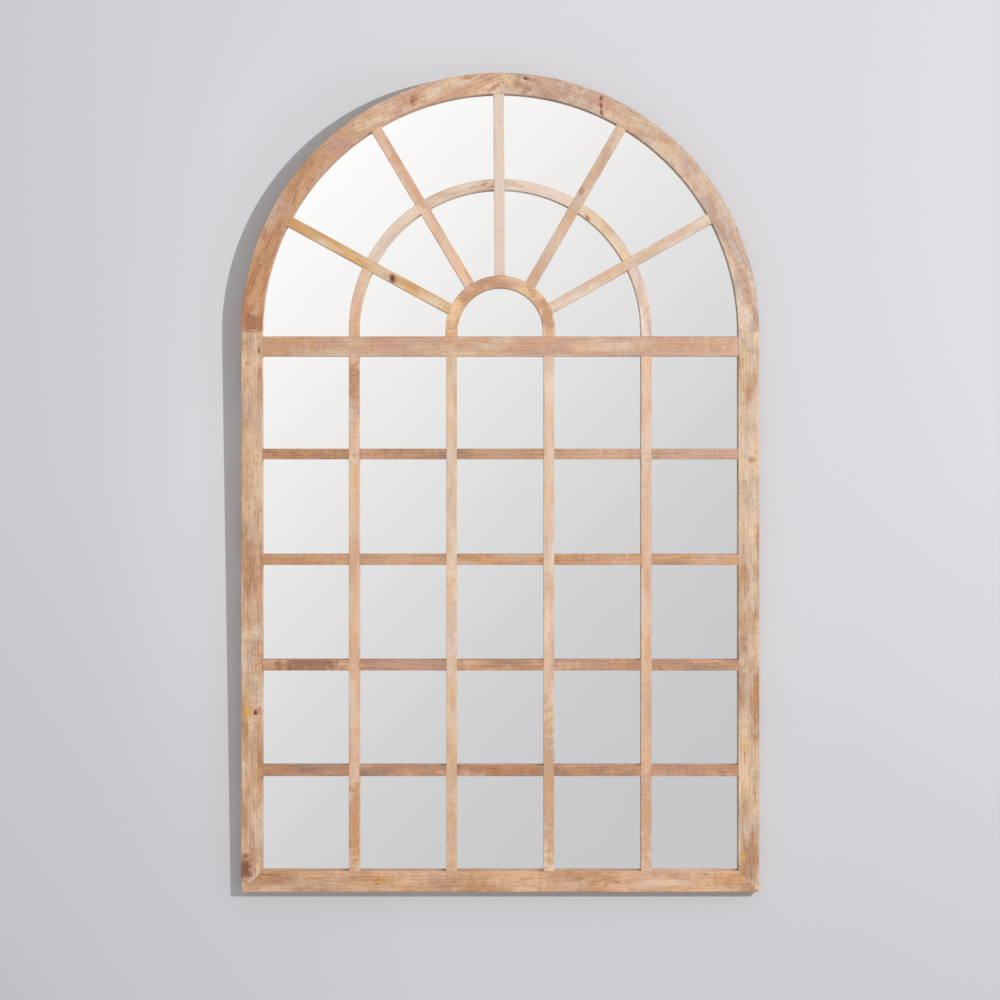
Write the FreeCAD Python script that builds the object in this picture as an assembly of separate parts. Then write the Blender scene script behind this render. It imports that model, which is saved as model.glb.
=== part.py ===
import FreeCAD, Part

import math
import os

from FreeCAD import Vector

# Arched window mirror: a hardwood frame with a fanlight over five by five panes,
# one sheet of mirror glass behind the bars, a back panel and two ring hangers.
# Millimetres. +Z is up and the front faces -Y. The origin is the middle of the
# underside of the bottom rail, halfway through the frame's depth.

# ---------------------------------------------------------------- driving sizes
overall_width = 965.0
frame_face = 39.0            # stiles, bottom rail and arch, seen from the front
transom_face = 37.0
muntin_face = 20.0           # upright and cross muntins
spoke_face = 20.0
mid_arc_face = 20.0
hub_arch_face = 23.0
pane_field_height = 959.0    # bottom rail to transom
top_row_shortfall = 4.5      # the top row of panes is lower than the others
spring_rise = 8.5            # top of the transom up to the centre of the outer arch
fan_rise = 2.5               # on up to the centre of the middle arc and the hub arch
panes_across = 5
panes_up = 5
spoke_count = 5
spoke_step = 30.5            # degrees from one spoke to the next
fan_lean = 0.4               # degrees that the middle spoke leans to the left
arch_segment_count = 4
eased_edge = 1.0             # radius on the front edges of every bar

mirror_setback = 18.0        # front of the frame back to the glass
glass_thickness = 4.0
cushion_thickness = 1.0
cushion_width = 12.0
cushion_gap = 1.0            # between the ends of neighbouring strips
panel_thickness = 5.0
panel_recess = 2.0           # back panel below the back of the frame
glass_lap = 8.0              # rebate beyond the sight edge that takes the glass
screw_ledge = 10.0           # further step that takes the back panel
sheet_clearance = 1.0        # round the glass and round the back panel

tenon_thickness = 8.0
tenon_shoulder = 3.0
stub_length = 12.0           # tongues of muntins, spokes and arcs
tongue_root = 1.0            # a tongue starts this far inside its bar
transom_tenon_length = 20.0
tenon_clearance = 0.1
tenon_end_gap = 0.5
glue_gap = 0.1               # where a bar is scribed to a curve

dowel_radius = 4.0
dowel_length = 36.0
dowel_inset = 10.0           # outer edge of the frame to the dowels
dowel_face_inset = 9.0       # front and back of the frame to the dowels
spline_thickness = 4.0
spline_length = 26.0         # along the mitre
spline_reach = 10.0          # into each member

screw_shank_radius = 1.75
screw_head_radius = 3.5
screw_head_height = 1.9
screw_length = 16.0
screw_tip_length = 3.0
screw_tip_radius = 0.35
screw_head_round = 0.5
driver_slot_width = 1.0
driver_slot_depth = 1.0
driver_slot_margin = 1.3     # end of the cross slot in from the rim of the head
panel_hole_clearance = 0.25
pilot_clearance = 0.05
side_screw_count = 6
side_screw_margin = 60.0     # first and last side screw from the ends of the panes
bottom_screw_count = 5
bottom_screw_margin = 83.0   # first and last bottom screw from the stiles
arch_screw_count = 8
arch_screw_start = 12.0      # degrees up from the spring line

strap_width = 14.0
strap_thickness = 1.2
strap_length = 42.0          # pivot down to the centre of the rounded end
strap_screw_first = 23.0     # pivot down to the first screw
strap_screw_radius = 1.5
strap_screw_head_radius = 3.0
strap_screw_head_height = 1.6
strap_screw_length = 14.0
ring_wire_radius = 1.5
ring_half_width = 10.0       # middle of the wire
ring_corner_radius = 2.5
ring_leg = 6.0               # pivot down to the round end
ring_running_clearance = 0.05
ring_edge_margin = 2.0       # ring in from the outer edge of the stile
hanger_drop = 20.0           # pivot below the transom
bumper_radius = 6.0
bumper_thickness = 6.0
bumper_arch_angle = 60.0     # upper pair, up from the spring line

# ---------------------------------------------------------------- derived sizes
half_width = overall_width / 2
sight_half = half_width - frame_face
frame_depth = mirror_setback + glass_thickness + cushion_thickness
frame_depth = frame_depth + panel_thickness + panel_recess
front_y = -frame_depth / 2
back_y = frame_depth / 2
glass_y = front_y + mirror_setback
cushion_y = glass_y + glass_thickness
panel_y = cushion_y + cushion_thickness
panel_back_y = panel_y + panel_thickness
bar_mid_y = front_y + mirror_setback / 2

rail_top_z = frame_face
transom_z = rail_top_z + pane_field_height
transom_top_z = transom_z + transom_face
spring_z = transom_top_z + spring_rise
fan_z = spring_z + fan_rise

pane_width = (2 * sight_half - (panes_across - 1) * muntin_face) / panes_across
pane_height = (pane_field_height + top_row_shortfall - (panes_up - 1) * muntin_face) / panes_up
muntin_xs = [-sight_half + (i + 1) * pane_width + (i + 0.5) * muntin_face
             for i in range(panes_across - 1)]
muntin_zs = [rail_top_z + (i + 1) * pane_height + (i + 0.5) * muntin_face
             for i in range(panes_up - 1)]
spoke_angles = [90 + fan_lean + spoke_step * (i - (spoke_count - 1) / 2)
                for i in range(spoke_count)]
arch_joint_angles = [180.0 * i / arch_segment_count
                     for i in range(arch_segment_count + 1)]

# The middle arc stands over the outer upright muntins, the hub arch over the
# inner ones, so both take their radius from the muntins.
mid_arc_radius = muntin_xs[-1]
hub_arch_radius = min(x for x in muntin_xs if x > 0)
hub_outer_radius = hub_arch_radius + hub_arch_face / 2

panel_lap = glass_lap + screw_ledge
screw_line = glass_lap + screw_ledge / 2
back_wall = frame_face - panel_lap
dowel_ys = [front_y + dowel_face_inset, back_y - dowel_face_inset]

loop_bore_radius = ring_wire_radius + ring_running_clearance
loop_radius = loop_bore_radius + strap_thickness
hanger_x = half_width - ring_edge_margin - ring_half_width - ring_wire_radius
hanger_z = transom_z - hanger_drop
hanger_y = back_y + loop_radius
strap_screw_zs = [hanger_z - strap_screw_first, hanger_z - strap_length]

ALONG_Y = Vector(0, 1, 0)


# ---------------------------------------------------------------- shape helpers
def box(x0, x1, y0, y1, z0, z1):
    return Part.makeBox(x1 - x0, y1 - y0, z1 - z0, Vector(x0, y0, z0))


def disc(x, z, radius, y0, y1):
    return Part.makeCylinder(radius, y1 - y0, Vector(x, y0, z), ALONG_Y)


def polar(radius, angle, centre_z=spring_z):
    """Point (x, z) on a circle about the centre of an arch."""
    turn = math.radians(angle)
    return radius * math.cos(turn), centre_z + radius * math.sin(turn)


def prism(edges, y0, y1):
    """Solid between two depths from an outline drawn at y = 0."""
    face = Part.Face(Part.Wire(edges))
    face.translate(Vector(0, y0, 0))
    return face.extrude(Vector(0, y1 - y0, 0))


def line(start, end):
    return Part.makeLine(Vector(start[0], 0, start[1]), Vector(end[0], 0, end[1]))


def arc(radius, start_angle, end_angle, centre_z=spring_z):
    points = [polar(radius, a, centre_z) for a in
              (start_angle, (start_angle + end_angle) / 2, end_angle)]
    return Part.Arc(*[Vector(x, 0, z) for x, z in points]).toShape()


def arched_prism(half, foot_z, y0, y1):
    """Upright rectangle closed by a half circle at the spring line."""
    corners = [(-half, spring_z), (-half, foot_z), (half, foot_z), (half, spring_z)]
    edges = [line(a, b) for a, b in zip(corners, corners[1:])]
    edges.append(arc(half, 0, 180))
    return prism(edges, y0, y1)


def ring_sector(inner, outer, start_angle, end_angle, y0, y1):
    edges = [arc(outer, start_angle, end_angle),
             line(polar(outer, end_angle), polar(inner, end_angle)),
             arc(inner, end_angle, start_angle),
             line(polar(inner, start_angle), polar(outer, start_angle))]
    return prism(edges, y0, y1)


def window_sheet(growth, y0, y1):
    """Sheet of the window's sight outline, grown by so much all round."""
    return arched_prism(sight_half + growth, rail_top_z - growth, y0, y1)


def ease_front(solid, shortest):
    """Rounds the front edges that are longer than the given length."""
    edges = [e for e in solid.Edges
             if e.Length > shortest and all(abs(v.Y - front_y) < 1e-6 for v in e.Vertexes)]
    return solid.makeFillet(eased_edge, edges)


def place(shape, x, z, angle):
    """Turns a shape built up +Z so that it points at an angle from +X."""
    moved = shape.copy()
    moved.rotate(Vector(0, 0, 0), ALONG_Y, 90 - angle)
    moved.translate(Vector(x, 0, z))
    return moved


# ---------------------------------------------------------------- tongues
def tongue(face, length, grow=0.0, end_gap=0.0):
    """Stub tenon that points up +Z from the origin, a little rooted in its bar."""
    half = face / 2 - tenon_shoulder + grow
    y0 = bar_mid_y - tenon_thickness / 2 - grow
    y1 = bar_mid_y + tenon_thickness / 2 + grow
    return box(-half, half, y0, y1, -tongue_root, length + end_gap)


def mortise(face, length):
    return tongue(face, length, tenon_clearance, tenon_end_gap)


def straight_bar(face, length):
    """Bar up +Z from the origin, as deep as the glass is set back."""
    bar = box(-face / 2, face / 2, front_y, glass_y, 0, length)
    return ease_front(bar, length - 1)


def tongued_bar(face, length, tongue_length):
    bar = straight_bar(face, length)
    top = place(tongue(face, tongue_length), 0, length, 90)
    bottom = place(tongue(face, tongue_length), 0, 0, 270)
    return bar.fuse([top, bottom]).removeSplitter()


def spoke_reach(angle):
    """Distance from the transom's top to the arch along a spoke's middle line."""
    turn = math.radians(angle)
    across = spring_rise * math.cos(turn)
    return spring_rise * math.sin(turn) + math.sqrt(sight_half ** 2 - across ** 2)


def spoke_tip(angle):
    turn = math.radians(angle)
    reach = spoke_reach(angle)
    return reach * math.cos(turn), transom_top_z + reach * math.sin(turn)


def transom_mortises():
    """Pockets in the transom for the muntins below it and the arcs above it."""
    pockets = [place(mortise(muntin_face, stub_length), x, transom_z, 90) for x in muntin_xs]
    for radius, face in ((mid_arc_radius, mid_arc_face), (hub_arch_radius, hub_arch_face)):
        pockets += [place(mortise(face, stub_length), side * radius, transom_top_z, 270)
                    for side in (-1, 1)]
    return pockets


def frame_mortises():
    """Pockets in the outer frame for the muntins, the transom and the spokes."""
    pockets = [place(mortise(muntin_face, stub_length), x, rail_top_z, 270) for x in muntin_xs]
    for z in muntin_zs:
        pockets.append(place(mortise(muntin_face, stub_length), -sight_half, z, 180))
        pockets.append(place(mortise(muntin_face, stub_length), sight_half, z, 0))
    middle_z = transom_z + transom_face / 2
    for x, angle in ((-sight_half, 180), (sight_half, 0)):
        pockets.append(place(mortise(transom_face, transom_tenon_length), x, middle_z, angle))
    for angle in spoke_angles:
        x, z = spoke_tip(angle)
        pockets.append(place(mortise(spoke_face, stub_length), x, z, angle))
    return pockets


# ---------------------------------------------------------------- dowels and splines
def tangent_rod(radius, length, angle, y):
    """Rod centred on an arch joint and square to it."""
    x, z = polar(half_width - dowel_inset, angle)
    turn = math.radians(angle)
    along = Vector(-math.sin(turn), 0, math.cos(turn))
    start = Vector(x, y, z) - along * (length / 2)
    return Part.makeCylinder(radius, length, start, along)


def dowel_group(grow=0.0, end_gap=0.0):
    return [tangent_rod(dowel_radius + grow, dowel_length + 2 * end_gap, angle, y)
            for angle in arch_joint_angles for y in dowel_ys]


def spline_pair(grow=0.0):
    """Flat splines across the middle of the two bottom mitres."""
    half_length = spline_length / 2 + grow
    reach = spline_reach + grow
    y0 = bar_mid_y - spline_thickness / 2 - grow
    y1 = bar_mid_y + spline_thickness / 2 + grow
    pair = []
    for side in (-1, 1):
        blank = box(-reach, reach, y0, y1, -half_length, half_length)
        x = side * (half_width - frame_face / 2)
        pair.append(place(blank, x, frame_face / 2, 90 + side * 45))
    return pair


# ---------------------------------------------------------------- screws
def spread(first, last, count):
    return [first + (last - first) * i / (count - 1) for i in range(count)]


def panel_screw_places():
    """Points (x, z) of the back panel screws, on the middle of the ledge."""
    reach = sight_half + screw_line
    side_zs = spread(rail_top_z + side_screw_margin, transom_z - side_screw_margin,
                     side_screw_count)
    last_x = sight_half - bottom_screw_margin
    places = [(side * reach, z) for side in (-1, 1) for z in side_zs]
    bottom_xs = spread(-last_x, last_x, bottom_screw_count)
    places += [(x, rail_top_z - screw_line) for x in bottom_xs]
    arch_angles = spread(arch_screw_start, 180 - arch_screw_start, arch_screw_count)
    places += [polar(reach, angle) for angle in arch_angles]
    return places


def strap_screw_places():
    return [(side * hanger_x, z) for side in (-1, 1) for z in strap_screw_zs]


def screw_shank(x, z, seat_y, radius, length):
    """Shank and point, driven towards the front from its seat."""
    straight = length - screw_tip_length
    shank = disc(x, z, radius, seat_y - straight, seat_y)
    point = Part.makeCone(radius, screw_tip_radius, screw_tip_length,
                          Vector(x, seat_y - straight, z), Vector(0, -1, 0))
    return shank.fuse(point)


def wood_screw(x, z, seat_y, radius, length, head_radius, head_height):
    top_y = seat_y + head_height
    head = disc(x, z, head_radius, seat_y, top_y)
    rim = [e for e in head.Edges if all(abs(v.Y - top_y) < 1e-6 for v in e.Vertexes)]
    head = head.makeFillet(screw_head_round, rim)
    slot_y = top_y - driver_slot_depth
    reach = head_radius - driver_slot_margin
    half = driver_slot_width / 2
    cross = [box(x - reach, x + reach, slot_y, top_y, z - half, z + half),
             box(x - half, x + half, slot_y, top_y, z - reach, z + reach)]
    return head.cut(cross).fuse(screw_shank(x, z, seat_y, radius, length)).removeSplitter()


def panel_pilot_holes():
    return [screw_shank(x, z, panel_y, screw_shank_radius + pilot_clearance,
                        screw_length - panel_thickness + tenon_end_gap)
            for x, z in panel_screw_places()]


def strap_pilot_holes():
    return [screw_shank(x, z, back_y, strap_screw_radius + pilot_clearance,
                        strap_screw_length - strap_thickness + tenon_end_gap)
            for x, z in strap_screw_places()]


# ---------------------------------------------------------------- outer frame
def frame_cuts():
    """Both rebates and every pocket and hole in the outer frame."""
    glass_rebate = window_sheet(glass_lap, glass_y, back_y)
    panel_rebate = window_sheet(panel_lap, panel_y, back_y)
    cuts = [glass_rebate, panel_rebate]
    cuts += frame_mortises() + dowel_group(tenon_clearance, tenon_end_gap)
    cuts += spline_pair(tenon_clearance) + panel_pilot_holes() + strap_pilot_holes()
    return cuts


def touching(cuts, solid):
    """The cuts whose boxes meet the box of a solid."""
    return [c for c in cuts if c.BoundBox.intersect(solid.BoundBox)]


def stile(side, cuts):
    corners = [(side * half_width, 0), (side * half_width, spring_z),
               (side * sight_half, spring_z), (side * sight_half, rail_top_z)]
    edges = [line(a, b) for a, b in zip(corners, corners[1:] + corners[:1])]
    blank = ease_front(prism(edges, front_y, back_y), 2 * frame_face)
    return blank.cut(touching(cuts, blank))


def bottom_rail(cuts):
    corners = [(-half_width, 0), (half_width, 0),
               (sight_half, rail_top_z), (-sight_half, rail_top_z)]
    edges = [line(a, b) for a, b in zip(corners, corners[1:] + corners[:1])]
    blank = ease_front(prism(edges, front_y, back_y), 2 * frame_face)
    return blank.cut(touching(cuts, blank))


def arch_segment(start_angle, end_angle, cuts):
    blank = ring_sector(sight_half, half_width, start_angle, end_angle, front_y, back_y)
    blank = ease_front(blank, 2 * frame_face)
    return blank.cut(touching(cuts, blank))


def transom_rail(cuts):
    bar = tongued_bar(transom_face, 2 * sight_half, transom_tenon_length)
    bar = place(bar, -sight_half, transom_z + transom_face / 2, 0)
    return bar.cut(cuts)


# ---------------------------------------------------------------- bars
def upright_muntin(x):
    """Runs through in front: its back half is notched for the cross muntins."""
    bar = place(tongued_bar(muntin_face, pane_field_height, stub_length), x, rail_top_z, 90)
    half = muntin_face / 2
    notches = [box(x - half, x + half, bar_mid_y, glass_y, z - half, z + half)
               for z in muntin_zs]
    return bar.cut(notches)


def cross_muntin(z):
    """Runs through behind: its front half is notched for the upright muntins."""
    bar = place(tongued_bar(muntin_face, 2 * sight_half, stub_length), -sight_half, z, 0)
    half = muntin_face / 2
    notches = [box(x - half, x + half, front_y, bar_mid_y, z - half, z + half)
               for x in muntin_xs]
    return bar.cut(notches)


def spoke(angle):
    """Bar scribed to the hub arch, with a tongue in the outer arch."""
    reach = spoke_reach(angle)
    bar = place(straight_bar(spoke_face, reach + spoke_face), 0, transom_top_z, angle)
    bar = bar.common(disc(0, spring_z, sight_half - glue_gap, front_y, glass_y))
    bar = bar.cut(disc(0, fan_z, hub_outer_radius + glue_gap, front_y, glass_y))
    tip_x, tip_z = spoke_tip(angle)
    return bar.fuse(place(tongue(spoke_face, stub_length), tip_x, tip_z, angle)).removeSplitter()


def arched_bar(radius, face):
    """Half-round bar on two short legs, with a tongue under each foot."""
    outer = radius + face / 2
    inner = radius - face / 2
    feet = [(-outer, transom_top_z), (-inner, transom_top_z),
            (inner, transom_top_z), (outer, transom_top_z)]
    edges = [arc(outer, 0, 180, fan_z), line((-outer, fan_z), feet[0]), line(feet[0], feet[1]),
             line(feet[1], (-inner, fan_z)), arc(inner, 180, 0, fan_z),
             line((inner, fan_z), feet[2]), line(feet[2], feet[3]),
             line(feet[3], (outer, fan_z))]
    bar = ease_front(prism(edges, front_y, glass_y), 2 * face)
    feet_tongues = [place(tongue(face, stub_length), side * radius, transom_top_z, 270)
                    for side in (-1, 1)]
    return bar.fuse(feet_tongues).removeSplitter()


def mid_arc_pieces():
    """The middle arc cut away at each spoke, from the right foot to the left."""
    ring = arched_bar(mid_arc_radius, mid_arc_face)
    half = spoke_face / 2
    slots = [place(box(-half, half, front_y, glass_y, 0, sight_half),
                   0, transom_top_z, angle) for angle in spoke_angles]
    pieces = ring.cut(slots).Solids
    return sorted(pieces, key=lambda s: -s.CenterOfMass.x)


# ---------------------------------------------------------------- sheets
def mirror_glass():
    return window_sheet(glass_lap - sheet_clearance, glass_y, cushion_y)


def cushion_strips():
    """Strips behind the edge of the glass, and one across behind the transom."""
    growth = glass_lap - sheet_clearance
    band = window_sheet(growth, cushion_y, panel_y)
    band = band.cut(window_sheet(growth - cushion_width, cushion_y, panel_y))
    edge = sight_half + growth
    inner = edge - cushion_width
    foot = rail_top_z - growth
    side_z = foot + cushion_width + cushion_gap
    side_top_z = spring_z - cushion_gap
    regions = [box(-edge, edge, cushion_y, panel_y, foot, foot + cushion_width),
               box(-edge, -inner, cushion_y, panel_y, side_z, side_top_z),
               box(inner, edge, cushion_y, panel_y, side_z, side_top_z),
               box(-edge, edge, cushion_y, panel_y, spring_z, spring_z + edge)]
    strips = [band.common(region).Solids[0] for region in regions]
    reach = inner - cushion_gap
    low = transom_z + (transom_face - cushion_width) / 2
    strips.append(box(-reach, reach, cushion_y, panel_y, low, low + cushion_width))
    return strips


def back_panel():
    panel = window_sheet(panel_lap - sheet_clearance, panel_y, panel_back_y)
    radius = screw_shank_radius + panel_hole_clearance
    holes = [disc(x, z, radius, panel_y, panel_back_y) for x, z in panel_screw_places()]
    return panel.cut(holes)


# ---------------------------------------------------------------- hangers and pads
def hanger_strap(side):
    """Steel strap folded round the ring's bar and screwed to the stile."""
    x = side * hanger_x
    half = strap_width / 2
    top_y = back_y + strap_thickness
    end_z = hanger_z - strap_length
    plate = box(x - half, x + half, back_y, top_y, end_z, hanger_z)
    end = disc(x, end_z, half, back_y, top_y)
    start = Vector(x - half, hanger_y, hanger_z)
    loop = Part.makeCylinder(loop_radius, strap_width, start, Vector(1, 0, 0))
    bore = Part.makeCylinder(loop_bore_radius, strap_width, start, Vector(1, 0, 0))
    radius = strap_screw_radius + panel_hole_clearance
    holes = [disc(x, z, radius, back_y, top_y) for z in strap_screw_zs]
    return plate.fuse([end, loop]).cut([bore] + holes).removeSplitter()


def hanger_ring(side):
    """Ring of round wire with a straight bar on top, hanging from the strap."""
    x = side * hanger_x
    half = ring_half_width
    corner = ring_corner_radius
    diagonal = corner * (1 - math.sqrt(0.5))

    def at(dx, dz):
        return Vector(x + dx, hanger_y, hanger_z + dz)

    path = [Part.makeLine(at(0, 0), at(half - corner, 0)),
            Part.Arc(at(half - corner, 0), at(half - diagonal, -diagonal),
                     at(half, -corner)).toShape(),
            Part.makeLine(at(half, -corner), at(half, -ring_leg)),
            Part.Arc(at(half, -ring_leg), at(0, -ring_leg - half),
                     at(-half, -ring_leg)).toShape(),
            Part.makeLine(at(-half, -ring_leg), at(-half, -corner)),
            Part.Arc(at(-half, -corner), at(-half + diagonal, -diagonal),
                     at(-half + corner, 0)).toShape(),
            Part.makeLine(at(-half + corner, 0), at(0, 0))]
    section = Part.Wire(Part.makeCircle(ring_wire_radius, at(0, 0), Vector(1, 0, 0)))
    return Part.Wire(path).makePipeShell([section], True, False)


def bumper_pads():
    inset = back_wall / 2
    top_x, top_z = polar(half_width - inset, bumper_arch_angle)
    places = [(side * (half_width - inset), inset) for side in (-1, 1)]
    places += [(side * top_x, top_z) for side in (-1, 1)]
    return [disc(x, z, bumper_radius, back_y, back_y + bumper_thickness) for x, z in places]


# ---------------------------------------------------------------- build
def build():
    parts = {}
    cuts = frame_cuts()
    parts["left_stile"] = stile(-1, cuts)
    parts["right_stile"] = stile(1, cuts)
    parts["bottom_rail"] = bottom_rail(cuts)
    for i in range(arch_segment_count):
        name = "arch_segment_%d" % (i + 1)
        parts[name] = arch_segment(arch_joint_angles[i], arch_joint_angles[i + 1], cuts)
    parts["transom_rail"] = transom_rail(transom_mortises())
    for i, x in enumerate(muntin_xs):
        parts["upright_muntin_%d" % (i + 1)] = upright_muntin(x)
    for i, z in enumerate(muntin_zs):
        parts["cross_muntin_%d" % (i + 1)] = cross_muntin(z)
    for i, angle in enumerate(spoke_angles):
        parts["fan_spoke_%d" % (i + 1)] = spoke(angle)
    for i, piece in enumerate(mid_arc_pieces()):
        parts["mid_arc_%d" % (i + 1)] = piece
    parts["hub_arch"] = arched_bar(hub_arch_radius, hub_arch_face)
    parts["frame_dowels"] = Part.makeCompound(dowel_group())
    parts["mitre_splines"] = Part.makeCompound(spline_pair())
    parts["mirror_glass"] = mirror_glass()
    parts["cushion_strips"] = Part.makeCompound(cushion_strips())
    parts["back_panel"] = back_panel()
    parts["back_panel_screws"] = Part.makeCompound(
        [wood_screw(x, z, panel_back_y, screw_shank_radius, screw_length,
                    screw_head_radius, screw_head_height) for x, z in panel_screw_places()])
    parts["hanger_screws"] = Part.makeCompound(
        [wood_screw(x, z, back_y + strap_thickness, strap_screw_radius, strap_screw_length,
                    strap_screw_head_radius, strap_screw_head_height)
         for x, z in strap_screw_places()])
    for side, word in ((-1, "left"), (1, "right")):
        parts["hanger_strap_" + word] = hanger_strap(side)
        parts["hanger_ring_" + word] = hanger_ring(side)
    parts["bumper_pads"] = Part.makeCompound(bumper_pads())
    return parts


os.makedirs("parts", exist_ok=True)
for name, shape in build().items():
    if not shape.isValid():
        print("not valid:", name)
    shape.exportStep("parts/" + name + ".step")
    print(name, len(shape.Solids), round(shape.Volume, 1))
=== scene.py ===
import math

import bpy
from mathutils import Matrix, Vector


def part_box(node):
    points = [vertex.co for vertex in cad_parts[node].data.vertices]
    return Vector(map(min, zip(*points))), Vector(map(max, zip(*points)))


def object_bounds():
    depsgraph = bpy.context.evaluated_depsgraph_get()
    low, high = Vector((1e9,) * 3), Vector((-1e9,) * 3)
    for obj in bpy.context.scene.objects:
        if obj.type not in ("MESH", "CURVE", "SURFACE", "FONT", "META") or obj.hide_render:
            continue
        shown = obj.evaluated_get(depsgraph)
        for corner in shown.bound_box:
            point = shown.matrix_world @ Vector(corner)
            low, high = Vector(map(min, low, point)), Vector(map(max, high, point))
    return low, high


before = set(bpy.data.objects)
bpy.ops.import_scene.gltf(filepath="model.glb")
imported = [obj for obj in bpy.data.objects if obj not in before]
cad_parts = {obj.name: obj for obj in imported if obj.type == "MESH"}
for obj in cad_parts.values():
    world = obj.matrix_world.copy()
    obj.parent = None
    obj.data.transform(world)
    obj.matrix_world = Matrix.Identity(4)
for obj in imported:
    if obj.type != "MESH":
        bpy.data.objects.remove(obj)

cad_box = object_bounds()
scene = bpy.context.scene
scene.view_settings.view_transform = "Standard"      # plain sRGB, as the hex tones are

# ------------------------------------------------------------------- camera
# A long lens looks square at the mirror from 5.5 m, so that only thin slivers of
# the bars' inner sides show. It stands a little above the middle of the picture.
front_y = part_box("left_stile")[0][1]
camera_distance = 5.5
view_width = 1.8626               # metres across the picture, at the front of the wood
view_x = -0.0005                  # middle of the picture
view_z = 0.7301
camera_rise = 0.093               # lens above that middle, taken back by the shift
sensor_width = 0.036

lens_data = bpy.data.cameras.new("camera")
lens_data.sensor_width = sensor_width * 1000
lens_data.lens = sensor_width * 1000 * camera_distance / view_width
camera = bpy.data.objects.new("camera", lens_data)
lens_data.shift_y = -camera_rise / view_width
camera.location = (view_x, front_y - camera_distance, view_z + camera_rise)
camera.rotation_euler = (math.radians(90), 0, 0)
scene.collection.objects.link(camera)
scene.camera = camera


# ---------------------------------------------------------------- wall and floor
# The mirror hangs on a matt painted wall that leans back a little, so that its shadow
# is narrow at the foot and wide at the arch. The wall and the pale floor vanish from
# behind and from below, where a real room would hide the back of the mirror.
def add(tree, kind, inputs=(), stops=(), **settings):
    """Adds a node, sets it, and feeds its sockets with values or other sockets."""
    node = tree.nodes.new("ShaderNode" + kind)
    for name, value in settings.items():
        setattr(node, name, value)
    for socket, value in dict(inputs).items():
        if isinstance(value, bpy.types.NodeSocket):
            tree.links.new(value, node.inputs[socket])
        else:
            node.inputs[socket].default_value = value
    if stops:
        points = node.color_ramp.elements
        while len(points) < len(stops):
            points.new(1.0)
        for point, (position, colour) in zip(points, stops):
            point.position = position
            point.color = colour
    return node


def tone(code):
    """sRGB hex to the linear colour that shaders take."""
    channels = [int(code[i:i + 2], 16) / 255 for i in (1, 3, 5)]
    linear = [c / 12.92 if c <= 0.04045 else ((c + 0.055) / 1.055) ** 2.4
              for c in channels]
    return (*linear, 1.0)


def new_material(name):
    material = bpy.data.materials.new(name)
    material.use_nodes = True
    material.node_tree.nodes.clear()
    return material, material.node_tree


def finish_material(tree, shader):
    add(tree, "OutputMaterial", {"Surface": shader.outputs[0]})


MIX_FACTOR, MIX_A, MIX_B, MIX_RESULT = 0, 6, 7, 2      # colour sockets of the Mix node

# Painted light and shade across the wall: palest a little left of the middle, darker towards both
# ends and most at the right.
wall_left = "#D6D7DB"
wall_middle = "#DADBE0"
wall_right = "#D2D1D6"
wall_ramp_reach = 0.95            # metres from the middle to the ends of the three tones
wall_low_painted_shade = 0.93             # painted shade at the foot of the wall, fading between the two heights
wall_low_z = -0.25
wall_full_z = 0.75
painted_daylight_x = -0.50                # a painted patch of daylight: its middle, half sizes and strength
painted_daylight_z = 0.80
painted_daylight_size = (0.30, 0.30, 1.05)
painted_daylight_gain = 1.10
floor_tone = "#D4D2CF"
floor_shade = "#D0CECB"
floor_clouds_per_metre = 2.0      # half a metre across
floor_z = -0.75
wall_gap = 0.0003                 # keeps the pads just clear of the paint
wall_foot_y = cad_box[1][1] + wall_gap
wall_lean = 0.0276                # metres back for each metre of height
wall_reach = 6.0
wall_top_z = 3.4


def stage_material(name, picture):
    """Matt paint that shows from its front only; picture adds the paint's colour."""
    material, tree = new_material(name)
    paint = add(tree, "BsdfPrincipled", {"Roughness": 0.9, "Specular IOR Level": 0.2,
                                         "Base Color": picture(tree)})
    facing = add(tree, "NewGeometry")
    clear = add(tree, "BsdfTransparent")
    sides = add(tree, "MixShader", {0: facing.outputs["Backfacing"], 1: paint.outputs[0],
                                    2: clear.outputs[0]})
    finish_material(tree, sides)
    return material


def wall_paint(tree):
    """Painted light and shade: tones that change across the wall, a painted shade towards its foot,
    and a painted patch of daylight that makes it paler by the left side of the mirror.
    """
    point = add(tree, "TexCoord").outputs["Object"]
    parts = add(tree, "SeparateXYZ", {0: point})
    along = add(tree, "MapRange", {"Value": parts.outputs[0], "From Min": -wall_ramp_reach,
                                   "From Max": wall_ramp_reach})
    across = add(tree, "ValToRGB", {0: along.outputs[0]},
                 stops=[(0.0, tone(wall_left)), (0.42, tone(wall_middle)),
                        (0.85, tone(wall_right))])
    # Painted shade, darker towards the foot of the wall.
    down = add(tree, "MapRange", {"Value": parts.outputs[2], "From Min": wall_low_z,
                                  "From Max": wall_full_z, "To Min": wall_low_painted_shade,
                                  "To Max": 1.0})
    # Painted light: a paler patch by the left side of the mirror, as if daylight fell there.
    painted_daylight_middle = (painted_daylight_x, wall_foot_y, painted_daylight_z)
    beside = add(tree, "Mapping", {"Vector": point, "Location": painted_daylight_middle,
                                   "Scale": painted_daylight_size}, vector_type="TEXTURE")
    away = add(tree, "VectorMath", {0: beside.outputs[0]}, operation="LENGTH")
    painted_daylight = add(tree, "MapRange", {"Value": away.outputs["Value"], "To Min": painted_daylight_gain,
                                      "To Max": 1.0}, interpolation_type="SMOOTHSTEP")
    shade = add(tree, "Math", {0: down.outputs[0], 1: painted_daylight.outputs[0]}, operation="MULTIPLY")
    return add(tree, "VectorMath", {0: across.outputs[0], "Scale": shade.outputs[0]},
               operation="SCALE").outputs[0]


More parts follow.
